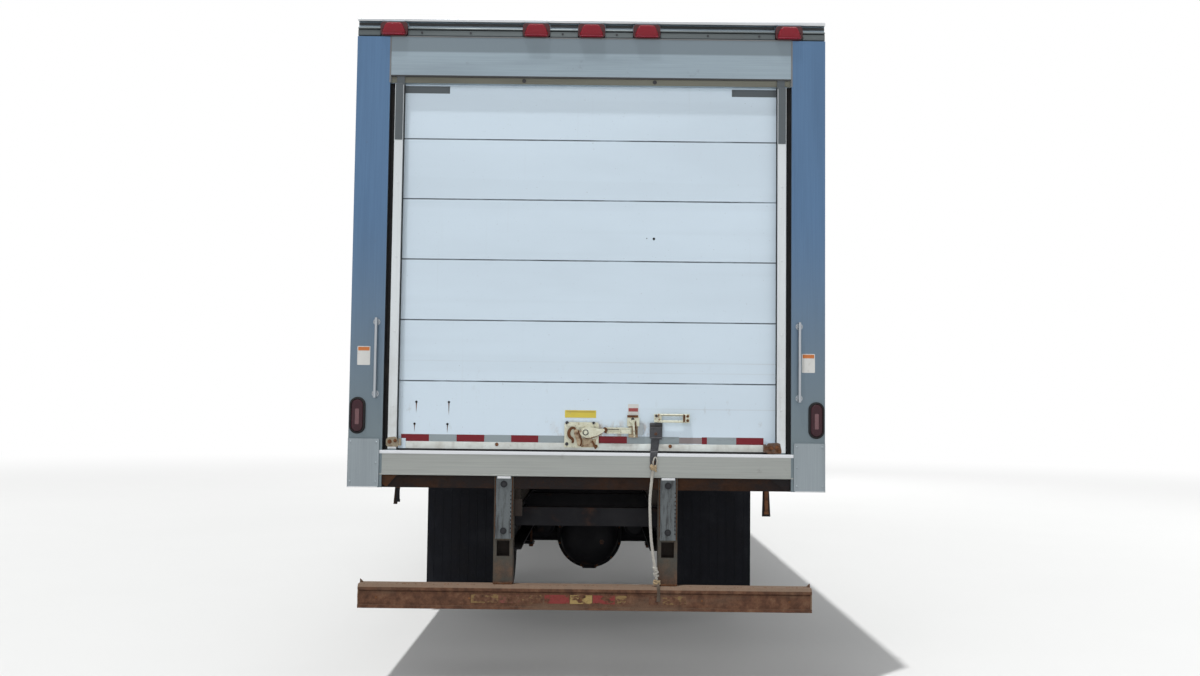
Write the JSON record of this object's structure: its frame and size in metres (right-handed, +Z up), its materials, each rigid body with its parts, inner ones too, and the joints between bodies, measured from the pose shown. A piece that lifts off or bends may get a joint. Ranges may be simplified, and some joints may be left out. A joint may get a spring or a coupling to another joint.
{
  "type": "box truck",
  "caption": "Medium box truck with a long white freight body, roll-up rear door, stainless rear frame, rusty underride guard, conventional cab and twin rear wheels.",
  "frame": {"origin": "on the ground under the middle of the truck's bounding box", "axes": "+Y towards the front bumper, +X to the truck's right side, +Z up"},
  "size_m": [2.83, 10.75, 3.67],
  "materials": {
    "white_paint": "satin",
    "cab_paint": "gloss",
    "stainless": "brushed",
    "frame_black": "satin",
    "rusty_steel": "rough rusty",
    "deck_wood": "worn",
    "aluminium": "satin",
    "tyre_rubber": "matte",
    "flap_rubber": "matte",
    "wheel_paint": "satin",
    "red_lens": "gloss",
    "glass": "clear",
    "black_plastic": "matte",
    "grey_fabric": "woven",
    "chrome": "polished",
    "clear_lens": "gloss",
    "black_webbing": "woven",
    "grey_rope": "woven"
  },
  "bodies": {
    "chassis": {"body_floor": "deck_wood", "body_side_left": "white_paint", "body_side_right": "white_paint", "body_front_wall": "white_paint", "body_roof": "white_paint", "rear_post_left": "stainless", "rear_post_right": "stainless", "rear_header": "stainless", "rear_sill": "stainless", "rear_lower_sill": "rusty_steel", "tail_lamp_left": "red_lens", "tail_lamp_right": "red_lens", "roll_door": "white_paint", "door_latch": "white_paint", "lift_handle": "white_paint", "pull_strap": "black_webbing", "pull_rope": "grey_rope", "underride_guard": "rusty_steel", "mud_flap_left": "flap_rubber", "mud_flap_right": "flap_rubber", "ladder_frame": "frame_black", "rear_axle": "frame_black", "front_axle": "frame_black", "engine_block": "rusty_steel", "drive_shaft": "frame_black", "fuel_tank": "aluminium", "battery_box": "frame_black", "cab_floor": "cab_paint", "cab_back": "cab_paint", "cab_front": "cab_paint", "cab_roof": "cab_paint", "windscreen": "glass", "rear_glass": "glass", "bench_seat": "grey_fabric", "dashboard": "black_plastic", "front_bumper": "chrome", "grab_bar_left": "stainless", "grab_bar_right": "stainless", "exhaust": "aluminium"},
    "left_knuckle": {"knuckle_left": "frame_black"},
    "right_knuckle": {"knuckle_right": "frame_black"},
    "track_rod": {"tie_rod": "frame_black"},
    "front_left_wheel": {"tyre_front_left": "tyre_rubber", "wheel_front_left": "wheel_paint"},
    "front_right_wheel": {"tyre_front_right": "tyre_rubber", "wheel_front_right": "wheel_paint"},
    "rear_left_wheels": {"tyre_rear_left_outer": "tyre_rubber", "tyre_rear_left_inner": "tyre_rubber", "dual_wheel_left": "wheel_paint"},
    "rear_right_wheels": {"tyre_rear_right_outer": "tyre_rubber", "tyre_rear_right_inner": "tyre_rubber", "dual_wheel_right": "wheel_paint"},
    "left_door": {"door_left": "cab_paint", "door_glass_left": "glass"},
    "right_door": {"door_right": "cab_paint", "door_glass_right": "glass"},
    "tilting_hood": {"hood": "cab_paint", "grille": "black_plastic", "headlamp_left": "clear_lens", "headlamp_right": "clear_lens"}
  },
  "joints": [
    {"name": "steer_left", "type": "hinge", "parent": "chassis", "child": "left_knuckle", "pos_m": [-0.85, 4.335, 0.49], "axis": [0, 0, 1], "range_deg": [-35, 35]},
    {"name": "steer_right", "type": "hinge", "parent": "chassis", "child": "right_knuckle", "pos_m": [0.85, 4.335, 0.49], "axis": [0, 0, 1], "range_deg": [-35, 35]},
    {"name": "track_rod_pin", "type": "hinge", "parent": "left_knuckle", "child": "track_rod", "pos_m": [-0.85, 4.135, 0.3724], "axis": [0, 0, 1], "range_deg": [-35, 35]},
    {"name": "front_left_spin", "type": "hinge", "parent": "left_knuckle", "child": "front_left_wheel", "pos_m": [-1.02, 4.335, 0.49], "axis": [-1, 0, 0], "continuous": true},
    {"name": "front_right_spin", "type": "hinge", "parent": "right_knuckle", "child": "front_right_wheel", "pos_m": [1.02, 4.335, 0.49], "axis": [-1, 0, 0], "continuous": true},
    {"name": "rear_left_spin", "type": "hinge", "parent": "chassis", "child": "rear_left_wheels", "pos_m": [-0.905, -2.075, 0.49], "axis": [-1, 0, 0], "continuous": true},
    {"name": "rear_right_spin", "type": "hinge", "parent": "chassis", "child": "rear_right_wheels", "pos_m": [0.905, -2.075, 0.49], "axis": [-1, 0, 0], "continuous": true},
    {"name": "left_door_hinge", "type": "hinge", "parent": "chassis", "child": "left_door", "pos_m": [-1.011, 3.673, 1.72], "axis": [0, 0, -1], "range_deg": [0, 70]},
    {"name": "right_door_hinge", "type": "hinge", "parent": "chassis", "child": "right_door", "pos_m": [1.011, 3.673, 1.72], "axis": [0, 0, 1], "range_deg": [0, 70]},
    {"name": "hood_tilt", "type": "hinge", "parent": "chassis", "child": "tilting_hood", "pos_m": [0, 5.175, 0.72], "axis": [-1, 0, 0], "range_deg": [0, 55]}
  ],
  "couplings": [
    {"joint": "steer_right", "follows": "steer_left", "ratio": 1},
    {"joint": "track_rod_pin", "follows": "steer_left", "ratio": -1}
  ]
}
